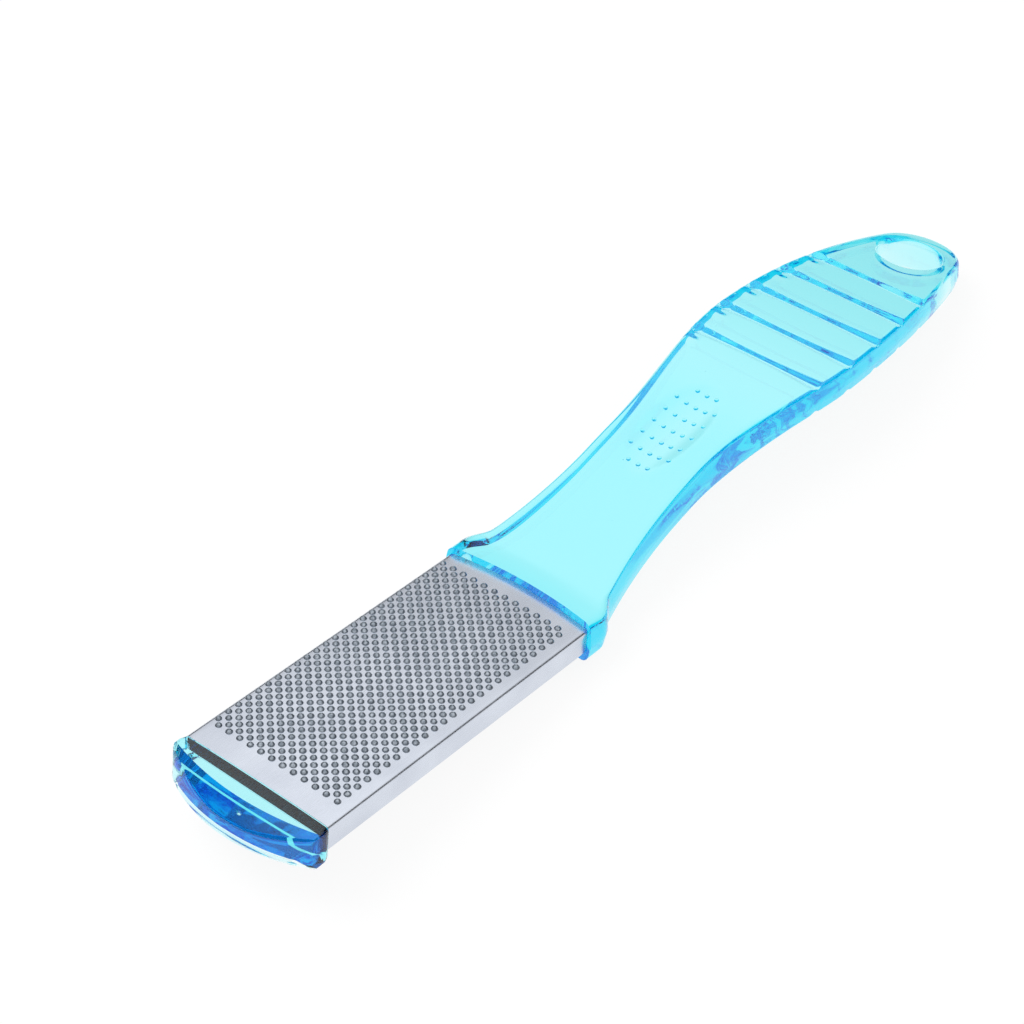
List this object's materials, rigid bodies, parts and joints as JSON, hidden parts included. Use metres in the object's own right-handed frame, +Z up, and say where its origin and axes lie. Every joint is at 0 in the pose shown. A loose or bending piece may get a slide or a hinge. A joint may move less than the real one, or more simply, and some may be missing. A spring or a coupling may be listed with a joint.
{
  "type": "foot file",
  "caption": "Double-sided foot file: rasp plates on a flat head, clear moulded body, arched grooved handle with a thumb rest and a hanging hole.",
  "frame": {"origin": "on the table under the middle of the tool's bounding box, as it lies at rest on the collar and the tip", "axes": "+X from the nose towards the tip of the handle, +Z up, the coarse plate facing up"},
  "size_m": [0.2034, 0.0318, 0.0166],
  "materials": {
    "clear_plastic": "clear tinted moulding, polished",
    "rasp_steel": "satin nickel"
  },
  "bodies": {
    "root": {"body": "clear_plastic", "coarse_plate": "rasp_steel", "fine_plate": "rasp_steel"}
  },
  "joints": []
}
